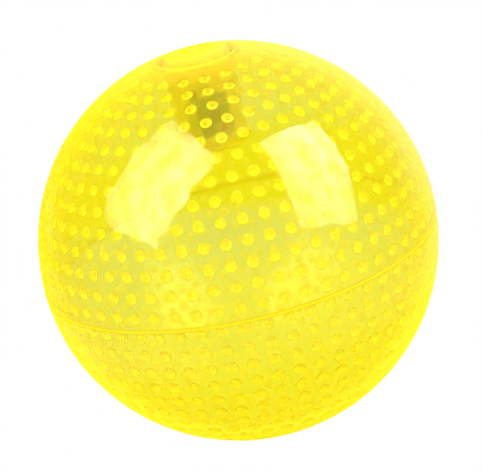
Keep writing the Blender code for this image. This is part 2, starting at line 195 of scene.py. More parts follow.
# The table's light: the ball's shade and a glow round its foot, and a strip that is a ring about its own
# centre. Each reach comes with its fade.
TABLE_Z = cad_box[0].z
TABLE_HALF = 6.0
BALL_FOOT = (0.0, 0.0)
SHADE_REACH = (1.6 * BALL_RADIUS, 0.45 * BALL_RADIUS)
GLOW_REACH = (0.10, 0.05)
GLOW_LIFT = 0.12
GLOW_BLUE_LOSS = 0.65
STRIP_CENTRE = (-0.12, -0.05)
STRIP_NEAR = (0.258, 0.01)
STRIP_FAR = (0.42, 0.03)

# Light's bounces, enough for the nubs of both walls
BOUNCES = 48

# Clear rubber
WALL_TINT = (0.77, 0.76, 0.53)
WALL_TINT_LIGHT = (0.81, 0.79, 0.57)
NUB_TINT = (1.0, 0.85, 0.0)
DEPTH_TINT = (1.0, 0.98, 0.0)
DEPTH_DENSITY = 200.0
WALL_CLARITY = 1.0
NUB_CLARITY = 0.6
# WALL_GLOW and NUB_GLOW are painted glow: emission strengths, in RUBBER_GLOW's colour, that brighten the wall
# and the nubs.
WALL_GLOW = 0.04
NUB_GLOW = 0.12
RUBBER_GLOW = (1.0, 0.80, 0.0)
RUBBER_IOR = 1.45
RUBBER_SPECULAR = (1.0, 0.96, 0.75)
OUTSIDE_ROUGHNESS = (0.021, 0.042)
INSIDE_ROUGHNESS = 0.08
NUB_ROUGHNESS = 0.12
SHEEN_WEIGHT = 0.38
SHEEN_ROUGHNESS = 0.5
SHEEN_TINT = (1.0, 0.78, 0.12)
TINT_SCALE = 60.0
POLISH_SCALE = 220.0
RIPPLE_SCALE = 150.0
RIPPLE_HEIGHT = 0.10 * MM

# Dense rubber of the plug
DENSE_SCATTER = (1.0, 0.8, 0.05)
DENSE_DEPTH = 5.0 * MM
# DENSE_GLOW is a painted glow: emission that brightens the plug.
DENSE_GLOW = (1.0, 0.78, 0.0)
DENSE_GLOW_STRENGTH = 0.12

# Weld
WELD_SPECULAR = 0.2
# The weld's glow is painted: emission that brightens the bead.
WELD_GLOW_STRENGTH = 0.60

# Dark colour on the holder's upward faces: its colour, and how far a face must look up to carry it, with the
# edge's softness
UPWARD_DARK = (0.03, 0.04, 0.01)
UPWARD_DARK_EDGE = (0.7, 0.1)

# Satin finishes: their grain, how much finer the polish and the bump are, and how much they vary
SATIN_SCALE = 400.0
SATIN_POLISH_FINER = 2.3
SATIN_POLISH_RANGE = (0.8, 1.25)
SATIN_BUMP_FINER = 4.0
SATIN_BUMP_STRENGTH = 0.4
SATIN_BUMP_HEIGHT = 0.01 * MM


def camera_axes():
    """The camera's right, up and back directions in the frame."""
    back = Vector((0.0, -math.cos(CAMERA_ELEVATION), math.sin(CAMERA_ELEVATION)))
    level_up = Vector((0.0, math.sin(CAMERA_ELEVATION), math.cos(CAMERA_ELEVATION)))
    level_right = Vector((1.0, 0.0, 0.0))
    right = level_right * math.cos(CAMERA_ROLL) - level_up * math.sin(CAMERA_ROLL)
    up = level_right * math.sin(CAMERA_ROLL) + level_up * math.cos(CAMERA_ROLL)
    return right, up, back


def pointing(right, up, back, place):
    """A matrix with these axes at this place."""
    return Matrix.Translation(place) @ Matrix((right, up, back)).transposed().to_4x4()


RIGHT, UP, BACK = camera_axes()


def make_camera():
    """The camera that the scene is rendered from."""
    camera = bpy.data.objects.new("camera", bpy.data.cameras.new("camera"))
    bpy.context.scene.collection.objects.link(camera)
    camera.data.lens = CAMERA_LENS_MM
    camera.data.sensor_width = CAMERA_SENSOR_MM
    camera.data.shift_x, camera.data.shift_y = CAMERA_SHIFT
    camera.data.clip_start, camera.data.clip_end = CAMERA_CLIP
    camera.matrix_world = pointing(RIGHT, UP, BACK, BACK * CAMERA_DISTANCE)
    bpy.context.scene.camera = camera


def from_view(right, up, back):
    """A direction given along the camera's axes, in the frame."""
    return RIGHT * right + UP * up + BACK * back


class Nodes:
    """Short helpers round a node tree."""

    def __init__(self, tree):
        self.tree = tree

    def add(self, kind, **settings):
        node = self.tree.nodes.new(kind)
        for name, value in settings.items():
            setattr(node, name, value)
        return node

    def link(self, source, target):
        self.tree.links.new(source, target)

    def put(self, value, socket):
        """Links an output to a socket, or sets the socket to a number or a colour."""
        if isinstance(value, bpy.types.NodeSocket):
            self.link(value, socket)
        elif isinstance(value, tuple):
            socket.default_value = (*value, 1.0)
        else:
            socket.default_value = value

    def math(self, operation, *values):
        node = self.add("ShaderNodeMath", operation=operation)
        for value, socket in zip(values, node.inputs):
            self.put(value, socket)
        return node.outputs[0]

    def colour(self, red, green, blue):
        node = self.add("ShaderNodeCombineColor")
        for value, socket in zip((red, green, blue), node.inputs):
            self.put(value, socket)
        return node.outputs["Color"]

    def mix(self, factor, first, second):
        """The first colour where the factor is 0, and the second where it is 1."""
        node = self.add("ShaderNodeMix", data_type="RGBA")
        self.put(factor, node.inputs["Factor"])
        self.put(first, node.inputs["A"])
        self.put(second, node.inputs["B"])
        return node.outputs["Result"]

    def dot(self, vector, axis):
        node = self.add("ShaderNodeVectorMath", operation="DOT_PRODUCT")
        self.link(vector, node.inputs[0])
        node.inputs[1].default_value = axis
        return node.outputs["Value"]

    def step(self, value, edge, softness):
        """0 below the edge and 1 above it, with a smooth change."""
        node = self.add("ShaderNodeMapRange", interpolation_type="SMOOTHSTEP")
        self.link(value, node.inputs["Value"])
        node.inputs["From Min"].default_value = edge - softness
        node.inputs["From Max"].default_value = edge + softness
        return node.outputs["Result"]


def make_softbox(name, toward, lean_degrees, width, height, hot_spot):
    """A rectangular softbox that faces the ball, brighter round its hot spot and a little mottled."""
    light = bpy.data.lights.new(name, "AREA")
    light.shape = "RECTANGLE"
    light.size = width * SOFTBOX_DISTANCE
    light.size_y = height * SOFTBOX_DISTANCE
    light.energy = SOFTBOX_WATTS
    light.use_nodes = True
    nodes = Nodes(light.node_tree)
    place = nodes.add("ShaderNodeNewGeometry").outputs["Parametric"]
    away = nodes.add("ShaderNodeVectorMath", operation="DISTANCE")
    nodes.link(place, away.inputs[0])
    away.inputs[1].default_value = (*hot_spot, 0.0)
    falloff = nodes.add("ShaderNodeMapRange", interpolation_type="SMOOTHSTEP")
    nodes.link(away.outputs["Value"], falloff.inputs["Value"])
    falloff.inputs["To Min"].default_value = HOT_SPOT_LEVEL
    falloff.inputs["To Max"].default_value = HOT_SPOT_EDGE_LEVEL
    cloth = nodes.add("ShaderNodeTexNoise")
    nodes.link(place, cloth.inputs["Vector"])
    cloth.inputs["Scale"].default_value = CLOTH_SCALE
    cloth.inputs["Detail"].default_value = 3.0
    mottle = nodes.math("MULTIPLY_ADD", cloth.outputs["Fac"], *CLOTH_MOTTLE)
    glow = light.node_tree.nodes["Emission"]
    nodes.link(nodes.math("MULTIPLY", falloff.outputs["Result"], mottle), glow.inputs["Strength"])
    lamp = bpy.data.objects.new(name, light)
    bpy.context.scene.collection.objects.link(lamp)
    outward = from_view(*toward).normalized()
    side = UP.cross(outward).normalized()
    top = outward.cross(side)
    lean = math.radians(lean_degrees)
    tilted_side = side * math.cos(lean) + top * math.sin(lean)
    tilted_top = top * math.cos(lean) - side * math.sin(lean)
    lamp.matrix_world = pointing(tilted_side, tilted_top, outward, outward * SOFTBOX_DISTANCE)
    lamp.visible_camera = False


def past(nodes, direction, toward, edge, softness):
    """1 where a direction's cosine to another one is over the edge, and 0 where it is under it."""
    return nodes.step(nodes.dot(direction, from_view(*toward)), edge, softness)


def mirrored_level(nodes, direction):
    """How bright the studio looks in reflections, along a direction from the ball. In front of the ball are
    the bright table, the dark room above it and a bright screen in the room. Behind the ball, a dimmer
    backdrop stands at the upper right."""
    over_foot = past(nodes, direction, *SCREEN_FOOT)
    on_screen = nodes.math("MULTIPLY", over_foot, past(nodes, direction, *SCREEN_SIDE))
    above_table = past(nodes, direction, *TABLE_END)
    dark = nodes.math("MULTIPLY", above_table, nodes.math("SUBTRACT", 1.0, on_screen))
    lit = nodes.math("SUBTRACT", 1.0, dark)
    front = nodes.math("MULTIPLY", past(nodes, direction, *FRONT_SIDE), FRONT_LEVEL)
    behind = nodes.math("SUBTRACT", 1.0, past(nodes, direction, *BACK_SIDE))
    backdrop = nodes.math("MULTIPLY", past(nodes, direction, *BACKDROP_FOOT), behind)
    return nodes.math("MULTIPLY_ADD", front, lit, nodes.math("MULTIPLY", backdrop, BACKDROP_LEVEL))


def by_ray(nodes, plain, mirrored, seen_through, lift):
    """A plain grey for the eye. Rays reflected off a surface meet warm light with the mirrored level of blue
    in it. The others meet light with the seen-through level of blue, which costs some red, and it is a
    little stronger where lift is 1."""
    path = nodes.add("ShaderNodeLightPath").outputs
    not_refracted = nodes.math("SUBTRACT", 1.0, path["Is Transmission Ray"])
    reflected = nodes.math("MULTIPLY", path["Is Glossy Ray"], not_refracted)
    strength = nodes.math("MULTIPLY_ADD", lift, GLOW_LIFT, STUDIO_WHITE)
    red = nodes.math("MULTIPLY_ADD", seen_through, -RED_LOSS, strength)
    through = nodes.colour(red, strength, seen_through)
    unseen = nodes.mix(reflected, through, nodes.colour(*WARM, mirrored))
    return nodes.mix(path["Is Camera Ray"], unseen, plain)


def white_behind(nodes, where, edge, softness):
    """White behind the ball, and a pale grey on the lights' side, against which their gloss still shows."""
    behind = nodes.step(nodes.dot(where, (0.0, 1.0, 0.0)), edge, softness)
    return nodes.math("MULTIPLY_ADD", behind, 1.0 - FRONT_GREY, FRONT_GREY)


def beyond(nodes, place, centre, reach, fade):
    """0 on the table within this reach of a place on it, and 1 further off."""
    gap = nodes.add("ShaderNodeVectorMath", operation="DISTANCE")
    nodes.link(place, gap.inputs[0])
    gap.inputs[1].default_value = (*centre, TABLE_Z)
    return nodes.step(gap.outputs["Value"], reach, fade)


def make_world():
    """The studio beyond the table: plain for the eye, nearly without blue through the ball, and with its own
    levels in reflections."""
    world = bpy.data.worlds.new("studio")
    bpy.context.scene.world = world
    world.use_nodes = True
    nodes = Nodes(world.node_tree)
    where = nodes.add("ShaderNodeTexCoord").outputs["Generated"]
    plain = white_behind(nodes, where, *WORLD_GREY_EDGE)
    colour = by_ray(nodes, plain, mirrored_level(nodes, where), WORLD_BLUE, lift=0.0)
    nodes.link(colour, world.node_tree.nodes["Background"].inputs["Color"])


def table_light(nodes):
    """The table's light. Through the ball it is stronger and warmer near the ball's foot, and has no blue in
    the strip. In reflections it has the studio's levels, with the ball's shade."""
    place = nodes.add("ShaderNodeTexCoord").outputs["Object"]
    towards = nodes.add("ShaderNodeVectorMath", operation="NORMALIZE")
    nodes.link(place, towards.inputs[0])
    level = mirrored_level(nodes, towards.outputs["Vector"])
    level = nodes.math("MULTIPLY", level, beyond(nodes, place, BALL_FOOT, *SHADE_REACH))
    glow = nodes.math("SUBTRACT", 1.0, beyond(nodes, place, BALL_FOOT, *GLOW_REACH))
    past_near = beyond(nodes, place, STRIP_CENTRE, *STRIP_NEAR)
    past_far = beyond(nodes, place, STRIP_CENTRE, *STRIP_FAR)
    off_strip = nodes.math("SUBTRACT", 1.0, nodes.math("SUBTRACT", past_near, past_far))
    blue = nodes.math("MULTIPLY_ADD", glow, -GLOW_BLUE_LOSS, off_strip)
    return by_ray(nodes, white_behind(nodes, place, *TABLE_GREY_EDGE), level, blue, glow)


def make_floor():
    """A plain pale table under the ball, lit evenly for the eye."""
    mesh = bpy.data.meshes.new("floor")
    corners = [(-1, -1), (1, -1), (1, 1), (-1, 1)]
    mesh.from_pydata([(x * TABLE_HALF, y * TABLE_HALF, TABLE_Z) for x, y in corners], [], [(0, 1, 2, 3)])
    floor = bpy.data.objects.new("floor", mesh)
    bpy.context.scene.collection.objects.link(floor)
    white = bpy.data.materials.new("white_table")
    white.use_nodes = True
    tree = white.node_tree
    tree.nodes.remove(tree.nodes["Principled BSDF"])
    nodes = Nodes(tree)
    glow = nodes.add("ShaderNodeEmission")
    nodes.link(table_light(nodes), glow.inputs["Color"])
    nodes.link(glow.outputs[0], tree.nodes["Material Output"].inputs["Surface"])
    mesh.materials.append(white)


def make_studio():
    """The camera, the floor, the light round it and two softboxes."""
    make_camera()
    make_world()
    make_floor()
    make_softbox("left_softbox", **LEFT_SOFTBOX)
    make_softbox("right_softbox", **RIGHT_SOFTBOX)
    bpy.context.scene.view_settings.view_transform = "Standard"
    cycles = bpy.context.scene.cycles
    cycles.max_bounces = BOUNCES
    cycles.transmission_bounces = BOUNCES
    cycles.glossy_bounces = BOUNCES


# ---------------------------------------------------------------- shells


def nub_rows(count):
    """(latitude, longitudes) of each row of nubs in a half, from the seam to the pole."""
    rows = []
    for row in range(count):
        latitude = ROW_PITCH * (row + 0.5)
        nubs = max(1, round(NUBS_AT_EQUATOR * math.cos(latitude)))
        turn = 2 * math.pi / nubs
        start = FIRST_MERIDIAN - math.pi / 2
        if row in ROWS_TURNED_HALF_A_PITCH:
            start += turn / 2
        rows.append((latitude, start + turn * np.arange(nubs)))
    return rows


def nub_centres(count):
    """Unit vectors to the nubs of a half, all above the equator."""
    found = []
    for latitude, longitudes in nub_rows(count):
        flat = math.cos(latitude)
        found.append(
            np.stack(
                [
                    flat * np.cos(longitudes),
                    flat * np.sin(longitudes),
                    np.full(len(longitudes), math.sin(latitude)),
                ],
                axis=1,
            )
        )
    return np.concatenate(found)


def ring_about(centres, angle, sides):
    """Points at an angle from each centre, as an array of centres by sides by 3."""
    east = np.stack([-centres[:, 1], centres[:, 0], np.zeros(len(centres))], axis=1)
    east /= np.linalg.norm(east, axis=1, keepdims=True)
    north = np.cross(centres, east)
    turn = 2 * math.pi * np.arange(sides) / sides
    around = (
        east[:, None, :] * np.cos(turn)[None, :, None]
        + north[:, None, :] * np.sin(turn)[None, :, None]
    )
    return centres[:, None, :] * math.cos(angle) + around * math.sin(angle)


def circle(radius, height, steps):
    """Points of a level circle."""
    turn = 2 * math.pi * np.arange(steps) / steps
    return np.stack(
        [radius * np.cos(turn), radius * np.sin(turn), np.full(steps, height)], axis=1
    )


def unit(points):
    """The directions of these points from the centre."""
    return points / np.linalg.norm(points, axis=1, keepdims=True)


def plane_of(points):
    """Stereographic places of unit vectors, with the pole in the middle. Circles stay circles in it."""
    return points[:, :2] / (1.0 + points[:, 2:3])


def fill_between(rings, edges, spare):
    """Triangles between the nubs' outer rings, the edge circles and the spare points, as indices into
    the three in turn."""
    sides = rings.shape[1]
    flat = plane_of(np.concatenate([rings.reshape(-1, 3), *edges, spare]))
    made = delaunay_2d_cdt([Vector(p) for p in flat], [], [], 0, SAME_PLACE)
    origin = [first[0] for first in made[3]]
    nubs = len(rings)
    group = np.concatenate(
        [np.repeat(np.arange(nubs), sides)]
        + [np.full(len(edge), nubs + i) for i, edge in enumerate(edges)]
        + [nubs + len(edges) + np.arange(len(spare))]
    )
    faces = []
    for face in made[2]:
        corners = [origin[i] for i in face]
        groups = group[corners]
        if groups[0] == groups[1] == groups[2]:
            continue
        first, second, third = flat[corners]
        (ax, ay), (bx, by) = second - first, third - first
        faces.append(corners if ax * by - ay * bx > 0 else corners[::-1])
    return faces


class Skin:
    """Points and faces of a mesh as it is put together."""

    def __init__(self):
        self.points = []
        self.nub_shares = []
        self.inside = []
        self.faces = []
        self.count = 0

    def add(self, points, nub_share=0.0, inside=0.0):
        """Adds points and returns the index of each. nub_share is 1 on a nub and 0 off it."""
        index = np.arange(self.count, self.count + len(points))
        self.points.append(np.asarray(points, float))
        self.nub_shares.append(np.full(len(points), nub_share))
        self.inside.append(np.full(len(points), inside))
        self.count += len(points)
        return index

    def take_mirrored(self, other):
        """Adds another skin's points and faces, mirrored in the equator. Returns the first index."""
        first = self.count
        self.add(np.concatenate(other.points) * (1, 1, -1))
        self.nub_shares[-1] = np.concatenate(other.nub_shares)
        self.inside[-1] = np.concatenate(other.inside)
        self.faces += [tuple(i + first for i in face[::-1]) for face in other.faces]
        return first

    def band(self, lower, upper):
        """Quads between two closed loops of indices of one length, facing away from their axis
        when the second loop lies above the first."""
        for i in range(len(lower)):
            j = (i + 1) % len(lower)
            self.faces.append((lower[i], lower[j], upper[j], upper[i]))

    def cap(self, loop, middle, up=True):
        """Triangles from a closed loop of indices to its middle point."""
        for i in range(len(loop)):
            j = (i + 1) % len(loop)
            self.faces.append((loop[i], loop[j], middle) if up else (loop[j], loop[i], middle))

    def object(self, name, material):
        """The mesh as an object of the scene, with each point's shares as attributes."""
        points = np.concatenate(self.points)
        faces = [tuple(int(i) for i in face) for face in self.faces]
        mesh = bpy.data.meshes.new(name)
        mesh.from_pydata(points.tolist(), [], faces)
        mesh.shade_smooth()
        for label, values in (("nub_share", self.nub_shares), ("inside", self.inside)):
            share = mesh.attributes.new(label, "FLOAT", "POINT")
            share.data.foreach_set("value", np.concatenate(values).astype(np.float32))
        obj = bpy.data.objects.new(name, mesh)
        bpy.context.scene.collection.objects.link(obj)
        mesh.materials.append(material)
        return obj


def waviness(directions):
    """How far the outside stands off its sphere in these directions, in metres."""
    total = np.zeros(len(directions))
    draw = np.random.default_rng(WAVE_SEED)
    for _ in range(WAVE_COUNT):
        wave = unit(draw.normal(size=(1, 3)))[0] * draw.uniform(*WAVE_NUMBERS)
        total += np.sin(directions @ wave + draw.uniform(0, 2 * math.pi))
    return total * WAVINESS


def bare_circles(radii, sphere_radius):
    """Points of level circles on the upper half of a sphere, where it has no nubs."""
    found = [np.zeros((0, 3))]
    for radius in radii:
        height = math.sqrt(sphere_radius**2 - radius**2)
        found.append(circle(radius, height, round(2 * math.pi * radius / BARE_SPACING)))
    return np.concatenate(found)


def nub_height(share):
    """How far a nub stands off the wall at one of its rings: a dome, its low foot, and the wall round it."""
    if share in NUB_RINGS[-2:]:
        return 0.0
    if share > 1:
        return NUB_HEIGHT * NUB_FOOT
    return NUB_HEIGHT * (1 - share**NUB_FLATNESS) ** NUB_ROUNDNESS


def nubbed_layer(skin, centres, edges, bare_radii=()):
    """The inside of the wall with its nubs. Returns the indices of the edge circles."""
    rings = []
    for share in NUB_RINGS:
        around = ring_about(centres, share * NUB_RADIUS / INNER_RADIUS, NUB_SIDES)
        around = (around * (INNER_RADIUS - nub_height(share))).reshape(-1, 3)
        nub_share = min(1.0, TOP_SHARE + SHARE_RISE * share) if share < 1 else 0.0
        rings.append(skin.add(around, nub_share, inside=1.0).reshape(-1, NUB_SIDES))
    tops = skin.add(centres * (INNER_RADIUS - NUB_HEIGHT), TOP_SHARE, inside=1.0)
    for nub in range(len(centres)):
        for inner, outer in zip(rings, rings[1:]):
            skin.band(inner[nub], outer[nub])
        skin.cap(rings[0][nub], tops[nub], up=False)
    outer_ring = ring_about(centres, NUB_RINGS[-1] * NUB_RADIUS / INNER_RADIUS, NUB_SIDES)
    edge_indices = [skin.add(edge, inside=1.0) for edge in edges]
    bare = bare_circles(bare_radii, INNER_RADIUS)
    index = np.concatenate([rings[-1].reshape(-1), *edge_indices, skin.add(bare, inside=1.0)])
    for face in fill_between(outer_ring, [unit(edge) for edge in edges], bare / INNER_RADIUS):
        skin.faces.append(tuple(index[face][::-1]))
    return edge_indices


def outer_layer(skin, centres, edges, bare_radii=()):
    """The outside of the wall, with a faint sink over each nub. Returns the indices of the edge circles."""
    rings = []
    for reach in SINK_RINGS:
        around = ring_about(centres, reach / BALL_RADIUS, SINK_SIDES).reshape(-1, 3)
        sink = SINK_DEPTH * math.exp(-((reach / SINK_RADIUS) ** 2))
        radius = BALL_RADIUS - sink + waviness(around)
        rings.append(skin.add(around * radius[:, None]).reshape(-1, SINK_SIDES))
    tops = skin.add(centres * (BALL_RADIUS - SINK_DEPTH + waviness(centres))[:, None])
    for nub in range(len(centres)):
        for inner, outer in zip(rings, rings[1:]):
            skin.band(outer[nub], inner[nub])
        skin.cap(rings[0][nub], tops[nub], up=True)
    outer_ring = ring_about(centres, SINK_RINGS[-1] / BALL_RADIUS, SINK_SIDES)
    edge_indices = [skin.add(edge) for edge in edges]
    bare = bare_circles(bare_radii, BALL_RADIUS)
    index = np.concatenate([rings[-1].reshape(-1), *edge_indices, skin.add(bare)])
    for face in fill_between(outer_ring, [unit(edge) for edge in edges], bare / BALL_RADIUS):
        skin.faces.append(tuple(index[face]))
    return edge_indices


def sharpen(obj, loops):
    """Marks the edges along these closed loops of indices as sharp."""
    wanted = set()
    for loop in loops:
        for i in range(len(loop)):
            a, b = int(loop[i]), int(loop[(i + 1) % len(loop)])
            wanted.add((min(a, b), max(a, b)))
    mesh = obj.data
    ends = np.zeros(len(mesh.edges) * 2, np.int32)
    mesh.edges.foreach_get("vertices", ends)
    pairs = np.sort(ends.reshape(-1, 2), axis=1)
    sharp = np.array([tuple(pair) in wanted for pair in pairs.tolist()])
    attribute = mesh.attributes.get("sharp_edge") or mesh.attributes.new(
        "sharp_edge", "BOOLEAN", "EDGE"
    )
    attribute.data.foreach_set("value", sharp)


def seam_edges():
    """The circles of a half shell at the seam: inside, groove root and outside."""
    inner = circle(INNER_RADIUS, 0.0, SEAM_STEPS)
    root = circle(BALL_RADIUS - GROOVE_DEPTH, 0.0, SEAM_STEPS)
    outer_radius = math.sqrt(BALL_RADIUS**2 - GROOVE_HALF_HEIGHT**2)
    outer = circle(outer_radius, GROOVE_HALF_HEIGHT, SEAM_STEPS)
    return inner, root, outer


def plain_half():
    """The half without a pocket, drawn above the equator."""
    skin = Skin()
    centres = nub_centres(ROWS_IN_LOWER_HALF)
    inner, root, outer = seam_edges()
    (inner_loop,) = nubbed_layer(skin, centres, [inner])
    (outer_loop,) = outer_layer(skin, centres, [outer])
    root_loop = skin.add(root)
    skin.band(root_loop, outer_loop)
    return skin, inner_loop, root_loop, [outer_loop]


def quarter_turn():
    """Angles from 0 to a right angle."""
    return [math.pi / 2 * i / QUARTER_STEPS for i in range(QUARTER_STEPS + 1)]


def pocket_half():
    """The half with the module's pocket."""
    skin = Skin()
    root_radius = POCKET_RADIUS + POCKET_FILLET
    root_z = math.sqrt(INNER_RADIUS**2 - root_radius**2)
    mouth_z = math.sqrt(BALL_RADIUS**2 - BORE_RADIUS**2)
    centres = nub_centres(ROWS_IN_UPPER_HALF)
    inner, root, outer = seam_edges()
    inner_edges = [inner, circle(root_radius, root_z, POCKET_STEPS)]
    outer_edges = [outer, circle(BORE_RADIUS, mouth_z, POCKET_STEPS)]
    inner_loop, pocket_root = nubbed_layer(skin, centres, inner_edges, BARE_INNER_RADII)
    outer_loop, mouth = outer_layer(skin, centres, outer_edges, BARE_OUTER_RADII)
    root_loop = skin.add(root)
    skin.band(root_loop, outer_loop)

    loop = pocket_root
    for turn in quarter_turn()[1:]:
        radius = POCKET_RADIUS + POCKET_FILLET * (1 - math.sin(turn))
        z = root_z - POCKET_FILLET * (1 - math.cos(turn))
        ring = skin.add(circle(radius, z, POCKET_STEPS), POCKET_SHARE, 1.0)
        skin.band(ring, loop)
        loop = ring
    for turn in quarter_turn():
        radius = POCKET_RADIUS - POCKET_CORNER * (1 - math.cos(turn))
        z = POCKET_BOTTOM_Z + POCKET_CORNER * (1 - math.sin(turn))
        ring = skin.add(circle(radius, z, POCKET_STEPS), POCKET_SHARE, 1.0)
        skin.band(ring, loop)
        loop = ring
    skin.cap(loop, skin.add([(0.0, 0.0, POCKET_BOTTOM_Z)])[0], up=False)

    rim_loop = skin.add(circle(BORE_RADIUS, mouth_z - MOUTH_RIM, POCKET_STEPS), POCKET_SHARE, 1.0)
    skin.band(mouth, rim_loop)
    floor_loop = skin.add(circle(BORE_RADIUS, POCKET_FLOOR_Z, POCKET_STEPS), POCKET_SHARE, 1.0)
    skin.band(rim_loop, floor_loop)
    skin.cap(floor_loop, skin.add([(0.0, 0.0, POCKET_FLOOR_Z)])[0], up=True)
    return skin, inner_loop, root_loop, [outer_loop, mouth, floor_loop]


def make_shell(material):
    """Both halves, fused at the seam as the welded ball is."""
    upper, inner_loop, root_loop, sharp_loops = pocket_half()
    lower, lower_inner_loop, lower_root_loop, lower_sharp_loops = plain_half()
    shared = np.concatenate([lower_inner_loop, lower_root_loop])
    onto = dict(zip(shared.tolist(), np.concatenate([inner_loop, root_loop]).tolist()))
    first = upper.take_mirrored(lower)
    moved = {old + first: new for old, new in onto.items()}
    upper.faces = [tuple(moved.get(int(i), int(i)) for i in face) for face in upper.faces]
    shell = upper.object("fused_shell", material)
    sharpen(shell, [root_loop, *sharp_loops, *(loop + first for loop in lower_sharp_loops)])
    drop_loose_points(shell.data)
    return shell


def drop_loose_points(mesh):
    """Deletes the points that no face uses, such as the lower half's copy of the seam."""
    work = bmesh.new()
    work.from_mesh(mesh)
    bmesh.ops.delete(work, geom=[v for v in work.verts if not v.link_faces], context="VERTS")
    work.to_mesh(mesh)
    work.free()


def turned(name, profile, steps, material):
    """A closed piece turned about Z from (radius, height) pairs that run from the top's centre down the
    outside to the bottom's centre."""
    skin = Skin()
    loops = [skin.add(circle(radius, z, steps)) for radius, z in profile[1:-1]]
    for above, below in zip(loops, loops[1:]):
        skin.band(below, above)
    skin.cap(loops[0], skin.add([(0.0, 0.0, profile[0][1])])[0], up=True)
    skin.cap(loops[-1], skin.add([(0.0, 0.0, profile[-1][1])])[0], up=False)
    return skin.object(name, material)


def make_plug(material):
    """The plug, bonded into the bore: its sides reach just into the shell's rubber."""

    def under_surface(radius, drop):
        return radius, math.sqrt(BALL_RADIUS**2 - radius**2) - drop

    bonded = BORE_RADIUS + PLUG_BOND
    low = PLUG_LOW.z
    top = (*PLUG_PIP, *PLUG_RECESS, *PLUG_RIM)
    profile = [under_surface(radius * MM, drop * MM) for radius, drop in top]
    profile += [under_surface(bonded, PLUG_EDGE_DROP), (bonded, low + PLUG_CORNER)]
    profile += [(bonded - PLUG_CORNER_CUT, low + PLUG_CORNER_CUT), (bonded - PLUG_CORNER, low), (0.0, low)]
    return turned("moulded_plug", profile, PLUG_STEPS, material)


def make_seam_bead(material):
    """The weld's bead in the seam's groove."""
    skin = Skin()
    centre = BALL_RADIUS - BEAD_SINK
    loops = []
    for side in range(BEAD_SIDES):
        turn = 2 * math.pi * side / BEAD_SIDES
        radius = centre + BEAD_RADIUS * math.cos(turn)
        loops.append(skin.add(circle(radius, BEAD_RADIUS * math.sin(turn), SEAM_STEPS)))
    for side in range(BEAD_SIDES):
        skin.band(loops[side], loops[(side + 1) % BEAD_SIDES])
    return skin.object("weld_bead", material)


# ---------------------------------------------------------------- materials


def principled(name):
    """A new material, its nodes and its shader."""
    made = bpy.data.materials.new(name)
    made.use_nodes = True
    return made, Nodes(made.node_tree), made.node_tree.nodes["Principled BSDF"]


def noise(nodes, scale, detail=3.0):
    """A noise value over the object's own coordinates."""
    where = nodes.add("ShaderNodeTexCoord").outputs["Object"]
    node = nodes.add("ShaderNodeTexNoise")
    node.inputs["Scale"].default_value = scale
    node.inputs["Detail"].default_value = detail
    nodes.link(where, node.inputs["Vector"])
    return node.outputs["Fac"]


def ramp(nodes, value, stops):
    """A colour ramp with (position, colour) stops."""
    node = nodes.add("ShaderNodeValToRGB")
    elements = node.color_ramp.elements
    while len(elements) < len(stops):
        elements.new(0.5)
    for element, (position, colour) in zip(elements, stops):
        element.position = position
        element.color = (*colour, 1.0)
    nodes.link(value, node.inputs["Fac"])
    return node.outputs["Color"]


def spread(nodes, value, low, high):
    """The value's middle range mapped to low..high."""
    node = nodes.add("ShaderNodeMapRange")
    node.inputs["From Min"].default_value = 0.3
    node.inputs["From Max"].default_value = 0.7
    node.inputs["To Min"].default_value = low
    node.inputs["To Max"].default_value = high
    nodes.link(value, node.inputs["Value"])
    return node.outputs["Result"]


def bump(nodes, value, shader, strength, distance):
    """Raises the shader's surface by a value from 0 to 1, over this distance."""
    node = nodes.add("ShaderNodeBump")
    node.inputs["Strength"].default_value = strength
    node.inputs["Distance"].default_value = distance
    nodes.link(value, node.inputs["Height"])
    nodes.link(node.outputs["Normal"], shader.inputs["Normal"])


def clear_rubber():
    """Clear yellow soft rubber, tinted by its depth. The nubs, and faintly the whole wall, carry a painted
    glow: emission that brightens them.
    """
    made, nodes, shader = principled("clear_yellow_rubber")
    on_nub = nodes.add("ShaderNodeAttribute", attribute_name="nub_share").outputs["Fac"]
    inside = nodes.add("ShaderNodeAttribute", attribute_name="inside").outputs["Fac"]
    wall = ramp(nodes, noise(nodes, TINT_SCALE), [(0.35, WALL_TINT), (0.65, WALL_TINT_LIGHT)])
    nodes.link(nodes.mix(on_nub, wall, NUB_TINT), shader.inputs["Base Color"])
    polish = spread(nodes, noise(nodes, POLISH_SCALE), *OUTSIDE_ROUGHNESS)
    matt = nodes.math("MULTIPLY_ADD", on_nub, NUB_ROUGHNESS, polish)
    nodes.link(nodes.math("MULTIPLY_ADD", inside, INSIDE_ROUGHNESS, matt), shader.inputs["Roughness"])
    clear = nodes.math("MULTIPLY_ADD", on_nub, NUB_CLARITY - WALL_CLARITY, WALL_CLARITY)
    nodes.link(clear, shader.inputs["Transmission Weight"])
    # Painted glow: emission, stronger on the nubs, that brightens the rubber.
    glow = nodes.math("MULTIPLY_ADD", on_nub, NUB_GLOW, WALL_GLOW)
    nodes.link(glow, shader.inputs["Emission Strength"])
    nodes.put(RUBBER_GLOW, shader.inputs["Emission Color"])
    nodes.put(RUBBER_IOR, shader.inputs["IOR"])
    nodes.put(RUBBER_SPECULAR, shader.inputs["Specular Tint"])
    nodes.put(SHEEN_WEIGHT, shader.inputs["Sheen Weight"])
    nodes.put(SHEEN_ROUGHNESS, shader.inputs["Sheen Roughness"])
    nodes.put(SHEEN_TINT, shader.inputs["Sheen Tint"])
    outside = nodes.math("SUBTRACT", 1.0, inside)
    ripples = nodes.math("MULTIPLY", noise(nodes, RIPPLE_SCALE, 1.0), outside)
    bump(nodes, ripples, shader, 1.0, RIPPLE_HEIGHT)
    depth = nodes.add("ShaderNodeVolumeAbsorption")
    nodes.put(DEPTH_TINT, depth.inputs["Color"])
    nodes.put(DEPTH_DENSITY, depth.inputs["Density"])
    nodes.link(depth.outputs[0], made.node_tree.nodes["Material Output"].inputs["Volume"])
    return made


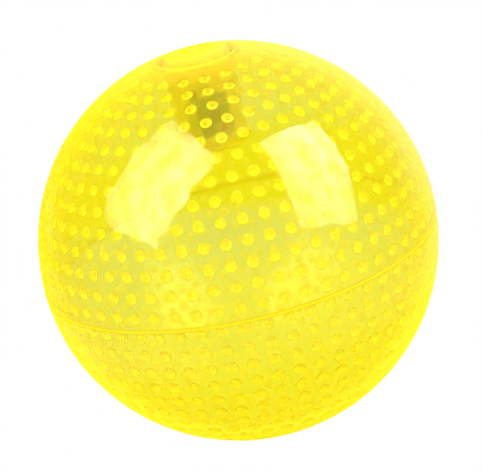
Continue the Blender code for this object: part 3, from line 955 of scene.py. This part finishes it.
def satin_shader(name, dark, light, roughness, scale=SATIN_SCALE, metallic=0.0):
    """A finish whose colour, roughness and surface vary a little: the material, its nodes and its shader."""
    made, nodes, shader = principled(name)
    grain = noise(nodes, scale)
    nodes.link(ramp(nodes, grain, [(0.3, dark), (0.7, light)]), shader.inputs["Base Color"])
    polish = noise(nodes, scale * SATIN_POLISH_FINER)
    polish = spread(nodes, polish, *(roughness * share for share in SATIN_POLISH_RANGE))
    nodes.link(polish, shader.inputs["Roughness"])
    nodes.put(metallic, shader.inputs["Metallic"])
    texture = noise(nodes, scale * SATIN_BUMP_FINER, 2.0)
    bump(nodes, texture, shader, SATIN_BUMP_STRENGTH, SATIN_BUMP_HEIGHT)
    return made, nodes, shader


def satin(*looks):
    """The material of such a finish."""
    return satin_shader(*looks)[0]


def dense_rubber():
    """Nearly opaque yellow rubber, with light scattered through it and a faint painted glow."""
    made, nodes, shader = satin_shader("dense_rubber", (0.86, 0.70, 0.0), (0.89, 0.74, 0.0), 0.30, 150.0)
    nodes.put(1.0, shader.inputs["Subsurface Weight"])
    shader.inputs["Subsurface Radius"].default_value = DENSE_SCATTER
    nodes.put(DENSE_DEPTH, shader.inputs["Subsurface Scale"])
    # Painted glow: emission that brightens the plug.
    nodes.put(DENSE_GLOW, shader.inputs["Emission Color"])
    nodes.put(DENSE_GLOW_STRENGTH, shader.inputs["Emission Strength"])
    return made


def weld_rubber():
    """The weld's dark rubber, with a painted glow that brightens it."""
    made, nodes, shader = satin_shader("weld", (0.26, 0.20, 0.0), (0.31, 0.24, 0.0), 0.40, 300.0)
    nodes.put(WELD_SPECULAR, shader.inputs["Specular IOR Level"])
    # Painted glow: emission that brightens the bead.
    nodes.put(RUBBER_GLOW, shader.inputs["Emission Color"])
    nodes.put(WELD_GLOW_STRENGTH, shader.inputs["Emission Strength"])
    return made


def holder_plastic():
    """Uncoloured plastic, darker on the faces that look up."""
    made, nodes, shader = satin_shader("holder_plastic", (0.42, 0.62, 0.36), (0.50, 0.70, 0.44), 0.45)
    plain = shader.inputs["Base Color"].links[0].from_socket
    facing = nodes.add("ShaderNodeNewGeometry").outputs["Normal"]
    # Faces that look up are made dark.
    faces_up = nodes.step(nodes.dot(facing, (0.0, 0.0, 1.0)), *UPWARD_DARK_EDGE)
    nodes.link(nodes.mix(faces_up, plain, UPWARD_DARK), shader.inputs["Base Color"])
    return made


# ---------------------------------------------------------------- pieces and bodies


def module_finishes():
    """A material for each CAD node of the flasher module."""
    case = satin("led_case", (0.52, 0.58, 0.48), (0.60, 0.65, 0.56), 0.4)
    steel = satin("cell_steel", (0.60, 0.60, 0.58), (0.78, 0.78, 0.76), 0.25, 500.0, 1.0)
    nylon = satin("gasket_nylon", (0.72, 0.72, 0.66), (0.82, 0.82, 0.76), 0.5)
    tinned = satin("tinned_brass", (0.66, 0.62, 0.50), (0.80, 0.76, 0.62), 0.32, 600.0, 1.0)
    return {
        "circuit_board": satin("board", (0.015, 0.17, 0.012), (0.03, 0.25, 0.02), 0.35),
        "chip_blob": satin("epoxy", (0.008, 0.008, 0.008), (0.02, 0.02, 0.02), 0.2),
        "cell_holder": holder_plastic(),
        "led_blue_body": case,
        "led_red_body": case,
        "led_blue_lens": satin("blue_lens", (0.15, 0.28, 0.7), (0.22, 0.36, 0.8), 0.12),
        "led_red_lens": satin("red_lens", (0.55, 0.05, 0.03), (0.7, 0.09, 0.05), 0.12),
        "resistor": satin("resistor", (0.015, 0.015, 0.015), (0.03, 0.03, 0.03), 0.4),
        "front_cell_can": steel,
        "front_cell_cap": steel,
        "front_cell_gasket": nylon,
        "rear_cell_can": steel,
        "rear_cell_cap": steel,
        "rear_cell_gasket": nylon,
        "front_contact": tinned,
        "rear_contact": tinned,
        "switch_base": satin("switch_plastic", (0.02, 0.02, 0.02), (0.05, 0.05, 0.05), 0.45),
        "switch_pin": satin("switch_brass", (0.70, 0.52, 0.22), (0.82, 0.64, 0.30), 0.28, 700.0, 1.0),
        "switch_spring": satin("spring_wire", (0.62, 0.52, 0.32), (0.76, 0.66, 0.42), 0.28, 900.0, 1.0),
    }


def dress(name, material):
    """Gives a CAD node a material."""
    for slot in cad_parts[name].material_slots:
        slot.link = "OBJECT"
        slot.material = material


def add_piece(piece, slot, *nodes):
    """Puts a piece on the ball in place of these CAD nodes."""
    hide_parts(*nodes)
    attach(piece, "ball")


def main():
    """The whole scene."""
    make_studio()
    add_piece(make_shell(clear_rubber()), "clear_yellow_rubber", "upper_shell", "lower_shell")
    add_piece(make_plug(dense_rubber()), "dense_yellow_rubber", "plug")
    add_piece(make_seam_bead(weld_rubber()), "weld_rubber", "seam_weld")
    for name, material in module_finishes().items():
        dress(name, material)


main()
